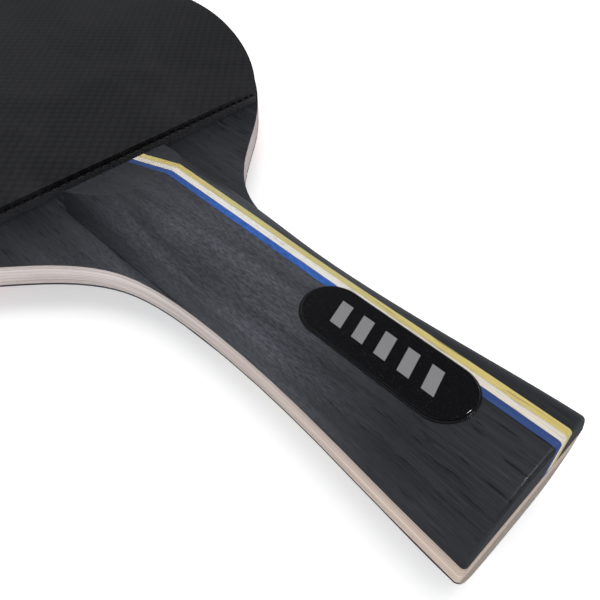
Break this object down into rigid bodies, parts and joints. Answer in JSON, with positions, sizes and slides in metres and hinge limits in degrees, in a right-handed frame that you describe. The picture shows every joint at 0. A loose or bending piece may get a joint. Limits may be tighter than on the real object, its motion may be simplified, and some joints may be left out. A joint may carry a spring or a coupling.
{
  "type": "table tennis paddle",
  "caption": "Table tennis paddle: laminated wooden blade with a flared striped handle, handle badge and rubber on both faces.",
  "frame": {"origin": "middle of the flat butt end, on the mid-plane of the blade", "axes": "+Y from the butt towards the head, +Z out of the front face with the badge, +X to the right seen from the front with the head up"},
  "size_m": [0.151, 0.264, 0.0256],
  "materials": {
    "core_wood": "bare end grain, satin",
    "medial_wood": "bare, satin",
    "black_wood": "stained, satin lacquer",
    "blue_veneer": "dyed, satin lacquer",
    "white_veneer": "dyed, satin lacquer",
    "yellow_veneer": "dyed, satin lacquer",
    "badge_rim": "gloss",
    "badge_black": "gloss",
    "badge_grey": "matte",
    "sponge": "porous matte",
    "black_rubber": "grippy satin",
    "red_rubber": "grippy satin"
  },
  "bodies": {
    "root": {"core_ply": "core_wood", "front_medial_ply": "medial_wood", "front_outer_ply": "black_wood", "front_scale_main_block": "black_wood", "front_scale_blue_strip": "blue_veneer", "front_scale_white_strip": "white_veneer", "front_scale_yellow_strip": "yellow_veneer", "front_scale_edge_block": "black_wood", "front_sponge": "sponge", "front_topsheet": "black_rubber", "rear_medial_ply": "medial_wood", "rear_outer_ply": "black_wood", "rear_scale_main_block": "black_wood", "rear_scale_blue_strip": "blue_veneer", "rear_scale_white_strip": "white_veneer", "rear_scale_yellow_strip": "yellow_veneer", "rear_scale_edge_block": "black_wood", "rear_sponge": "sponge", "rear_topsheet": "red_rubber", "badge_plate": "badge_rim", "badge_dome": "badge_black", "badge_bars": "badge_grey"}
  },
  "joints": []
}
